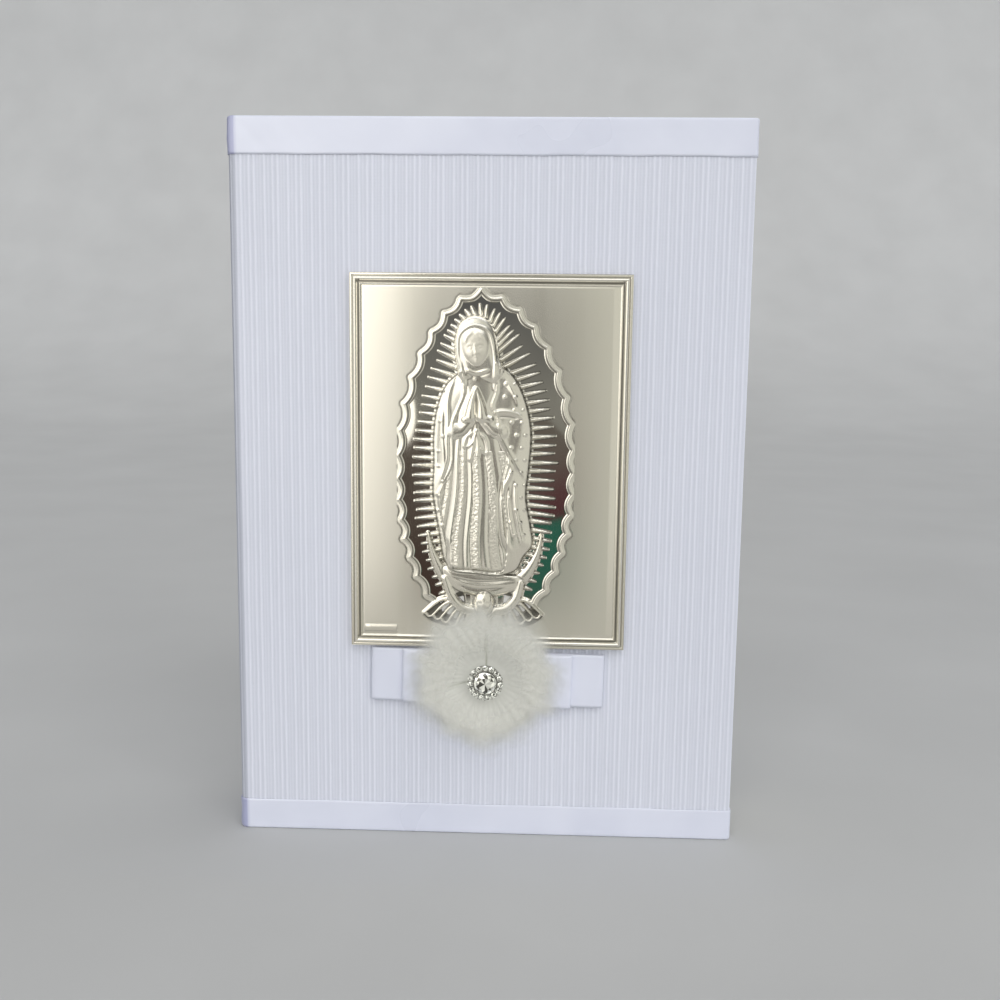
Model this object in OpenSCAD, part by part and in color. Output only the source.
// Hard-bound devotional book: cloth-covered case with satin ribbon edges, a sewn text
// block, an embossed plaque and a ribbon bow with a tulle flower and a jewelled button.
// X runs from the spine to the fore edge, Y from the front cover to the back cover, Z up.

/* [Cover] */
// Width of a cover from the spine to the fore edge
cover_w = 149; // [125:1:180]
// Height of a cover from tail to head
cover_h = 210; // [172:1:255]
// Thickness of the grey board inside each cover and the spine
board_t = 2.4; // [1.9:0.1:3.2]
// Radius of the board's long outer edge beside the spine
board_edge_r = 1.8; // [0.5:0.1:2.5]
// Thickness of the ribbed covering cloth
cloth_t = 0.5; // [0.3:0.05:0.8]
// Width of cloth turned in over each edge
turn_in_w = 15; // [13:1:20]
// Thickness of the endpaper glued over the turn-ins
endpaper_t = 0.2; // [0.1:0.05:0.4]
// Bare border of turn-in left round each pasted endpaper
endpaper_border = 4; // [2:0.5:6]

/* [Satin ribbon edging] */
// Thickness of the satin ribbon
ribbon_t = 0.3; // [0.2:0.05:0.4]
// Width of the head ribbon on the outer face
head_ribbon_w = 10.5; // [7:0.5:14]
// Width of the tail ribbon on the outer face
tail_ribbon_w = 9.3; // [7:0.1:14]
// Width of both ribbons on the inner face
ribbon_leg_w = 8; // [5:0.5:12]

/* [Text block] */
// Number of folded sections sewn together
section_count = 8; // [4:1:12]
// Thickness of one pressed section
section_t = 2.6; // [1.6:0.1:4]
// Air left between neighbouring sections
section_gap = 0.1; // [0.05:0.05:0.2]
// Chamfer along the folded back of each section
fold_chamfer = 0.6; // [0.2:0.1:0.75]
// Thickness of a free endpaper
flyleaf_t = 0.3; // [0.15:0.05:0.4]
// Amount by which the covers stand out past the pages
square_w = 3; // [2:0.5:5]
// Thickness of the open-weave cloth glued down the back of the sections
mull_t = 0.4; // [0.2:0.1:0.6]
// Diameter of the woven bead at each end of the text block's back
headband_d = 1.6; // [1:0.1:2.2]
// Height of the tape that glues each headband down
headband_tape_h = 12; // [8:1:16]

/* [Hinge lines] */
// Distance of each hinge line outside the ribbon's surface
hinge_out = 0.2; // [0.15:0.05:0.4]
// Gap between the spine piece and each cover at the hinge line
hinge_gap = 0.3; // [0.2:0.05:0.5]
// Air between the spine piece's inner turn-ins and the mull
hollow_gap = 0.4; // [0.3:0.1:1]
// Air between the text block and each cover
cover_gap = 0.15; // [0.1:0.05:0.3]

/* [Plaque] */
// Width of the embossed plaque
plaque_w = 80; // [66:1:96]
// Height of the embossed plaque
plaque_h = 108; // [90:1:130]
// Height of the plaque's centre above the middle of the cover
plaque_rise = 8; // [4:0.5:12]
// Distance of the ornaments' centre line from the middle, towards the fore edge
ornament_shift = 0.7; // [-2:0.1:2]
// Thickness of the adhesive pad behind the plaque
pad_t = 0.5; // [0.3:0.1:1]
// Distance of the pad's edge inside the plaque's edge
pad_inset = 3; // [1:0.5:8]
// Thickness of the plaque's filler plate
core_t = 1.8; // [1:0.1:3]
// Thickness of the embossed metal sheet
sheet_t = 0.4; // [0.3:0.05:0.6]
// Width of the plaque's raised frame
frame_w = 3.4; // [2.5:0.1:5]
// Height of the frame's bead above the field
frame_rise = 0.9; // [0.4:0.1:1.4]
// Half width of the almond-shaped glory
glory_half_w = 25.3; // [22:0.1:28]
// Half height of the almond-shaped glory
glory_half_h = 48; // [42:0.5:49]
// Number of scallops round the glory
scallop_count = 28; // [16:2:40]
// Depth of each scallop
scallop_h = 1.6; // [0.8:0.1:2.4]
// Number of rays in the glory
ray_count = 48; // [24:2:72]
// Height of the glory's rim above the field
glory_rise = 0.5; // [0.3:0.1:0.8]
// Height of the standing figure above the field
figure_rise = 1.2; // [0.9:0.1:2]

/* [Bow] */
// Width of the satin ribbon in the bow
bow_ribbon_w = 16; // [12:0.5:19.5]
// Overall span of the outer pair of loops
outer_loop_w = 68.8; // [56:0.1:84]
// Overall span of the inner pair of loops
inner_loop_w = 50; // [40:0.5:54]
// Depth of one flattened pair of loops
loop_d = 1.5; // [1.2:0.1:2.2]
// Gap between the top of the bow and the plaque
bow_gap = 1.5; // [0.8:0.1:3]
// Width of the ribbon wrapped round the bow's middle
wrap_w = 9; // [6:0.5:12]
// Width of the bow where the wrap gathers it
gather_w = 10; // [7:0.5:11]

/* [Flower] */
// Diameter of the largest tulle layer
flower_d = 43; // [35:0.5:52]
// Distance of the flower's centre below the bow's centre line; a negative one is above it
flower_drop = -1.8; // [-4:0.2:4]
// Number of gathered tulle layers
layer_count = 5; // [3:1:6]
// Thickness of each gathered layer at its middle
layer_t = 1.3; // [0.9:0.1:1.8]
// Extra height that each layer's rim gains over the one below
layer_lift = 1.1; // [0.4:0.1:1.4]
// Reduction of diameter from each layer to the next
layer_step = 4.5; // [3:0.5:5]
// Diameter of the felt disc that the flower is stitched to
felt_d = 14.5; // [14:0.5:24]
// Least thickness of the felt disc
felt_t = 1; // [0.6:0.1:2]

/* [Button] */
// Diameter of the jewelled button
button_d = 11; // [9:0.5:13]
// Height of the button's setting
setting_h = 2.2; // [1.8:0.1:3]
// Diameter of the centre stone
stone_d = 6.4; // [5:0.1:7]
// Height of the centre stone above the setting
stone_rise = 1.1; // [0.6:0.1:1.6]
// Number of small stones round the edge
small_stone_count = 16; // [10:1:18]
// Diameter of each small stone
small_stone_d = 1.5; // [1:0.1:1.6]
// Diameter of the button's shank
shank_d = 2; // [1.4:0.1:2.6]
// Radial clearance of the shank in the tulle and the felt
shank_clear = 0.1; // [0.05:0.05:0.3]

/* [Hidden] */
$fn = 48;
eps = 0.01;

// Stack of layers on a board
skin_t = cloth_t + ribbon_t;
lining_t = cloth_t + ribbon_t + endpaper_t;
edge_r = min(board_edge_r, board_t - 0.1);

// Text block
stack_t = section_count * section_t + 2 * flyleaf_t + (section_count + 1) * section_gap;
between_boards = stack_t + 2 * (lining_t + cover_gap);
spine_in_x = skin_t + board_t;
mull_x = spine_in_x + skin_t + hollow_gap;
fold_x = mull_x + mull_t + section_gap / 2;
fore_x = cover_w - skin_t - square_w;
page_z0 = square_w;
page_z1 = cover_h - square_w;
lining_x0 = fold_x;

// Depth of the ornaments in front of the cloth
sheet_d0 = pad_t + core_t;
field_d = sheet_d0 + sheet_t;
plaque_d = field_d + max(frame_rise, figure_rise - sheet_t / 2);
wrap_t = ribbon_t;
outer_loop_d0 = wrap_t;
inner_loop_d0 = outer_loop_d0 + loop_d;
wrap_d1 = inner_loop_d0 + loop_d + wrap_t;
felt_d1 = max(wrap_d1 + felt_t, field_d + frame_rise + 0.5);
button_d0 = felt_d1 + layer_count * layer_t;
shank_bore_r = shank_d / 2 + shank_clear;
top_rim_d = felt_d1 + (layer_count - 1) * (layer_t + layer_lift) + 0.7 * layer_t;
ornament_d = max(button_d0 + setting_h + stone_rise, top_rim_d);

// Places on the front cover
ornament_x = cover_w / 2 + ornament_shift;
plaque_z = cover_h / 2 + plaque_rise;
plaque_foot_z = plaque_z - plaque_h / 2;
bow_z = plaque_foot_z - bow_gap - bow_ribbon_w / 2;
flower_z = bow_z - flower_drop;

// Planes of the two boards' inner faces, with the whole book centred on Y = 0
front_out = board_t + cloth_t + max(ornament_d, plaque_d);
back_out = board_t + skin_t;
front_y = (front_out - between_boards - back_out) / 2;
back_y = front_y + between_boards;

satin = [0.84, 0.85, 0.91];
ribbed = [0.81, 0.83, 0.87];
paper = [0.95, 0.93, 0.87];
silver = [0.78, 0.77, 0.74];
tulle = [0.92, 0.91, 0.85];

section_names = [for (i = [1:section_count]) str("section_", i)];
layer_names = [for (i = [1:layer_count]) str("tulle_layer_", i)];

// Frames: a cover is drawn with X from the spine, Y outwards from the board's inner face
module on_front() {
    translate([-cover_w / 2, front_y, 0]) mirror([0, 1, 0]) children();
}

module on_back() {
    translate([-cover_w / 2, back_y, 0]) children();
}

module in_book() {
    translate([-cover_w / 2, 0, 0]) children();
}

// The front cover's face: X across, Y up and Z outwards from the cloth
module on_face(z) {
    translate([ornament_x - cover_w / 2, front_y - board_t - cloth_t, z])
        rotate([90, 0, 0]) children();
}

// Plan of a cover's outer side, grown by grow, with its rounded edge beside the spine
module cover_plan(grow) {
    x0 = skin_t - grow;
    r = edge_r + grow;
    difference() {
        translate([x0, 0]) square([cover_w - 2 * x0, board_t + grow]);
        translate([x0 + r, board_t + grow - r]) difference() {
            translate([-r - 1, 0]) square([r + 1, r + 1]);
            circle(r);
        }
    }
}

// A cover from head to tail with a layer of grow on its outside and inner on its inside
module cover_block(grow, inner) {
    z0 = skin_t - grow;
    translate([0, 0, z0]) linear_extrude(cover_h - 2 * z0) cover_plan(grow);
    if (inner > 0)
        translate([lining_x0, -inner, z0])
            cube([cover_w - lining_x0 - z0, inner + eps, cover_h - 2 * z0]);
}

module cover_board() {
    color("tan") cover_block(0, 0);
}

module cover_cloth() {
    window_z = skin_t + turn_in_w;
    color(ribbed) difference() {
        cover_block(cloth_t, cloth_t);
        cover_block(0, 0);
        translate([0, -cloth_t - 1, window_z])
            cube([cover_w - skin_t - turn_in_w, cloth_t + 1, cover_h - 2 * window_z]);
    }
}

// Ribbon folded over one end of a cover, between heights z0 and z1 on the outer face and
// between leg_z0 and leg_z1 on the inner face
module cover_ribbon(z0, z1, leg_z0, leg_z1) {
    outer = [cover_w + 2, board_t + skin_t + 1, cover_h];
    leg = [cover_w + 2, skin_t + 1, cover_h];
    color(satin) difference() {
        cover_block(skin_t, skin_t);
        cover_block(cloth_t, cloth_t);
        translate([-1, -eps, z0 - cover_h]) cube(outer);
        translate([-1, -eps, z1]) cube(outer);
        translate([-1, -skin_t - 1, leg_z0 - cover_h]) cube(leg);
        translate([-1, -skin_t - 1, leg_z1]) cube(leg);
    }
}

module cover_head_ribbon() {
    cover_ribbon(cover_h - head_ribbon_w, cover_h + 1, cover_h - ribbon_leg_w, cover_h + 1);
}

module cover_tail_ribbon() {
    cover_ribbon(-1, tail_ribbon_w, -1, ribbon_leg_w);
}

// Endpaper with its paste and filling, stepped over the turn-ins and the ribbon legs
module cover_pastedown() {
    turn_x = cover_w - skin_t - turn_in_w;
    turn_z = skin_t + turn_in_w;
    tall = cover_h - 2 * endpaper_border;
    color(paper) difference() {
        translate([lining_x0, -lining_t, endpaper_border])
            cube([cover_w - endpaper_border - lining_x0, lining_t, tall]);
        translate([turn_x, -cloth_t, 0]) cube([cover_w, cloth_t + 1, cover_h]);
        translate([0, -cloth_t, 0]) cube([cover_w, cloth_t + 1, turn_z]);
        translate([0, -cloth_t, cover_h - turn_z]) cube([cover_w, cloth_t + 1, turn_z]);
        translate([0, -skin_t, 0]) cube([cover_w, skin_t + 1, ribbon_leg_w]);
        translate([0, -skin_t, cover_h - ribbon_leg_w])
            cube([cover_w, skin_t + 1, ribbon_leg_w]);
    }
}

// The spine piece: board, cloth and ribbons between the two hinge lines
module spine_block(grow, inner) {
    z0 = skin_t - grow;
    translate([skin_t - grow, front_y + hinge_gap, z0])
        cube([board_t + grow + inner, between_boards - 2 * hinge_gap, cover_h - 2 * z0]);
}

module spine_board() {
    color("tan") in_book() spine_block(0, 0);
}

module spine_cloth() {
    window_z = skin_t + turn_in_w;
    color(ribbed) in_book() difference() {
        spine_block(cloth_t, cloth_t);
        spine_block(0, 0);
        translate([spine_in_x, front_y, window_z])
            cube([cloth_t + 1, between_boards, cover_h - 2 * window_z]);
    }
}

module spine_ribbon(z0, z1, leg_z0, leg_z1) {
    outer = [spine_in_x + 1 + eps, between_boards, cover_h];
    leg = [skin_t + 1, between_boards, cover_h];
    color(satin) in_book() difference() {
        spine_block(skin_t, skin_t);
        spine_block(cloth_t, cloth_t);
        translate([-1, front_y, z0 - cover_h]) cube(outer);
        translate([-1, front_y, z1]) cube(outer);
        translate([spine_in_x, front_y, leg_z0 - cover_h]) cube(leg);
        translate([spine_in_x, front_y, leg_z1]) cube(leg);
    }
}

module spine_head_ribbon() {
    spine_ribbon(cover_h - head_ribbon_w, cover_h + 1, cover_h - ribbon_leg_w, cover_h + 1);
}

module spine_tail_ribbon() {
    spine_ribbon(-1, tail_ribbon_w, -1, ribbon_leg_w);
}

// A leaf or section from y0, thick along Y, with its folded back chamfered
module leaves(y0, thick, chamfer) {
    color(paper) in_book() translate([0, 0, page_z0]) linear_extrude(page_z1 - page_z0)
        polygon([[fold_x, y0 + chamfer], [fold_x + chamfer, y0], [fore_x, y0],
                 [fore_x, y0 + thick], [fold_x + chamfer, y0 + thick],
                 [fold_x, y0 + thick - chamfer]]);
}

function section_y(i) =
    front_y + lining_t + cover_gap + flyleaf_t + section_gap
    + (i - 1) * (section_t + section_gap);

module section(i) {
    leaves(section_y(i), section_t, fold_chamfer);
}

module front_flyleaf() {
    leaves(front_y + lining_t + cover_gap, flyleaf_t, 0);
}

module rear_flyleaf() {
    leaves(back_y - lining_t - cover_gap - flyleaf_t, flyleaf_t, 0);
}

module mull() {
    clear_z = headband_tape_h + 1;
    color("ivory") in_book()
        translate([mull_x, section_y(1), page_z0 + clear_z])
            cube([mull_t, stack_t - 2 * (flyleaf_t + section_gap),
                  page_z1 - page_z0 - 2 * clear_z]);
}

// Woven bead on the end of the text block with its glued tape; up is 1 at the head
module headband(z, up) {
    length = stack_t - 2 * (flyleaf_t + section_gap);
    r = headband_d / 2;
    color("ivory") in_book() translate([mull_x, section_y(1), z]) {
        translate([r, 0, up * (r + section_gap)]) rotate([-90, 0, 0]) cylinder(length, r, r);
        translate([0, 0, up > 0 ? -headband_tape_h : -r])
            cube([mull_t, length, headband_tape_h + r]);
    }
}

// Plaque
module plaque_plate(inset, thick) {
    w = plaque_w - 2 * inset;
    h = plaque_h - 2 * inset;
    translate([-w / 2, -h / 2, 0]) cube([w, h, thick]);
}

module plaque_pad() {
    color("white") on_face(plaque_z) plaque_plate(pad_inset, pad_t);
}

module plaque_core() {
    color("gainsboro") on_face(plaque_z)
        translate([0, 0, pad_t]) plaque_plate(sheet_t, core_t);
}

// Egg-shaped outline of the glory at angle a from its top, scaled by k
function glory_half(a, k) =
    [k * glory_half_w * sin(a) * (1 - 0.08 * cos(a)), k * glory_half_h * cos(a)];

function scallop(a) = 1 + scallop_h / glory_half_w * (1 - abs(sin(scallop_count * a / 2)));

module glory_plate(k, thick) {
    steps = scallop_count * 6;
    linear_extrude(thick)
        polygon([for (i = [0:steps - 1]) glory_half(i * 360 / steps, k * scallop(i * 360 / steps))]);
}

module rays() {
    for (i = [0:ray_count - 1]) {
        a = (i + 0.5) * 360 / ray_count;
        tip = glory_half(a, 0.9);
        linear_extrude(glory_rise)
            polygon([tip, 0.35 * tip + [0.5 * cos(a), -0.5 * sin(a)],
                     0.35 * tip - [0.5 * cos(a), -0.5 * sin(a)]]);
    }
}

module crescent() {
    r = glory_half_w * 0.66;
    linear_extrude(figure_rise * 0.7) translate([-0.6, -0.43 * glory_half_h]) difference() {
        circle(r);
        translate([0, 3]) circle(r - 0.4);
        translate([-2 * r, 0]) square([4 * r, 2 * r]);
    }
}

// Standing robed figure, one scale unit being the glory's half height
module figure() {
    u = glory_half_h / 48;
    robe = [[-9.5, -28], [9, -28], [13, -24], [11.5, -8], [12.5, 9], [8.5, 23],
            [4.5, 26], [-5.5, 26], [-10.5, 23], [-15, 0], [-12, -12]];
    translate([-1.5, 0, 0]) {
        linear_extrude(figure_rise * 0.75) polygon(u * robe);
        translate([-2 * u, 33 * u, 0]) cylinder(figure_rise * 0.8, 6.4 * u, 5.6 * u);
        translate([-2 * u, 32 * u, 0]) cylinder(figure_rise, 4 * u, 3.2 * u);
        translate([-3 * u, 10 * u, 0]) cylinder(figure_rise, 3.4 * u, 2.4 * u);
    }
}

module cherub() {
    u = glory_half_h / 48;
    wing = [[0, -2], [7, -6.5], [17.5, -4.5], [15, 0.5], [9, 2.5], [0, 2]];
    translate([-0.6, -40.5 * u, 0]) {
        cylinder(figure_rise, 3 * u, 2.4 * u);
        for (side = [0, 1]) mirror([side, 0, 0])
            linear_extrude(figure_rise * 0.6) polygon(u * wing);
    }
}

// Thin embossed sheet with its returned edge, which caps the filler plate
module plaque_sheet() {
    color(silver) on_face(plaque_z) {
        difference() {
            translate([0, 0, pad_t]) plaque_plate(0, core_t + sheet_t);
            translate([0, 0, pad_t - 1]) plaque_plate(sheet_t, core_t + 1);
        }
        translate([0, 0, field_d]) {
            difference() {
                translate([0, 0, -eps]) plaque_plate(1.2, frame_rise + eps);
                translate([0, 0, -1]) plaque_plate(frame_w, frame_rise + 2);
            }
            translate([0, 0, -sheet_t / 2]) {
                difference() {
                    glory_plate(1, glory_rise + sheet_t / 2);
                    translate([0, 0, sheet_t / 2]) glory_plate(0.94, glory_rise + 1);
                }
                rays();
                crescent();
                figure();
                cherub();
            }
        }
    }
}

// Bow: a flattened pair of loops that is gathered at the middle
module loops(span, d0) {
    end_r = loop_d / 2;
    straight = span - 2 * end_r;
    notch = (bow_ribbon_w - gather_w) / 2;
    difference() {
        translate([0, -bow_ribbon_w / 2, d0 + end_r]) rotate([-90, 0, 0])
            linear_extrude(bow_ribbon_w) difference() {
                loop_plan(straight, end_r);
                loop_plan(straight, end_r - ribbon_t);
            }
        for (side = [-1, 1])
            translate([0, side * bow_ribbon_w / 2, d0 - 1]) linear_extrude(loop_d + 2)
                polygon([[-wrap_w, side], [-wrap_w / 2, -side * notch],
                         [wrap_w / 2, -side * notch], [wrap_w, side]]);
    }
}

module loop_plan(straight, r) {
    translate([-straight / 2, -r]) square([straight, 2 * r]);
    for (side = [-1, 1]) translate([side * straight / 2, 0]) circle(r);
}

module bow_outer_loops() {
    color(satin) on_face(bow_z) loops(outer_loop_w, outer_loop_d0);
}

module bow_inner_loops() {
    color(satin) on_face(bow_z) loops(inner_loop_w, inner_loop_d0);
}

module bow_wrap() {
    inside = gather_w + 0.2;
    color(satin) on_face(bow_z) difference() {
        translate([-wrap_w / 2 + 0.1, -inside / 2 - wrap_t, 0])
            cube([wrap_w - 0.2, inside + 2 * wrap_t, wrap_d1]);
        translate([-wrap_w, -inside / 2, wrap_t])
            cube([2 * wrap_w, inside, wrap_d1 - 2 * wrap_t]);
    }
}

// Flower
module flower_felt() {
    color("ivory") on_face(flower_z) translate([0, 0, wrap_d1]) difference() {
        cylinder(felt_d1 - wrap_d1, felt_d / 2, felt_d / 2);
        translate([0, 0, -1]) cylinder(felt_d1, shank_bore_r, shank_bore_r);
    }
}

// One gathered layer: flat round the shank, rising to a thin rim
module tulle_layer(i) {
    hub = button_d / 2;
    rim = (flower_d - (i - 1) * layer_step) / 2;
    lift = (i - 1) * layer_lift;
    bore = shank_bore_r;
    color(tulle) on_face(flower_z) translate([0, 0, felt_d1 + (i - 1) * layer_t])
        rotate_extrude() polygon([[bore, 0], [hub, 0], [rim, lift], [rim, lift + layer_t * 0.7],
                                  [hub, layer_t], [bore, layer_t]]);
}

// Button
small_stone_ring = (button_d - small_stone_d) / 2 - 0.4;

module at_small_stones() {
    for (i = [0:small_stone_count - 1])
        rotate(i * 360 / small_stone_count) translate([small_stone_ring, 0, 0]) children();
}

module button_setting() {
    seat = small_stone_d / 2;
    color(silver) on_face(flower_z) {
        translate([0, 0, wrap_d1]) cylinder(button_d0 - wrap_d1 + eps, shank_d / 2, shank_d / 2);
        translate([0, 0, button_d0]) difference() {
            cylinder(setting_h, button_d / 2, button_d / 2);
            translate([0, 0, setting_h - 1]) cylinder(2, stone_d / 2, stone_d / 2);
            translate([0, 0, setting_h - 0.7])
                at_small_stones() cylinder(2, seat, seat, $fn = 16);
        }
    }
}

module button_centre_stone() {
    r = stone_d / 2;
    color("aliceblue") on_face(flower_z) translate([0, 0, button_d0 + setting_h - 1]) {
        cylinder(1, r, r);
        translate([0, 0, 1]) cylinder(stone_rise, r, 0.6 * r);
    }
}

module button_small_stones() {
    r = small_stone_d / 2;
    color("aliceblue") on_face(flower_z) translate([0, 0, button_d0 + setting_h - 0.7])
        at_small_stones() {
            cylinder(0.7, r, r, $fn = 16);
            translate([0, 0, 0.7]) cylinder(r * 0.6, r, 0.5 * r, $fn = 16);
        }
}

on_back() cover_board();  // back_board
on_back() cover_cloth();  // back_cloth
on_back() cover_head_ribbon();  // back_head_ribbon
on_back() cover_tail_ribbon();  // back_tail_ribbon
on_back() cover_pastedown();  // back_pastedown
spine_board();
spine_cloth();
spine_head_ribbon();
spine_tail_ribbon();
on_front() cover_board();  // front_board
on_front() cover_cloth();  // front_cloth
on_front() cover_head_ribbon();  // front_head_ribbon
on_front() cover_tail_ribbon();  // front_tail_ribbon
on_front() cover_pastedown();  // front_pastedown
rear_flyleaf();
front_flyleaf();
mull();
headband(page_z1, 1);  // head_headband
headband(page_z0, -1);  // tail_headband
for (i = [1:section_count])
    section(i);
plaque_pad();
plaque_core();
plaque_sheet();
bow_outer_loops();
bow_inner_loops();
bow_wrap();
flower_felt();
for (i = [1:layer_count])
    tulle_layer(i);
button_setting();
button_centre_stone();
button_small_stones();
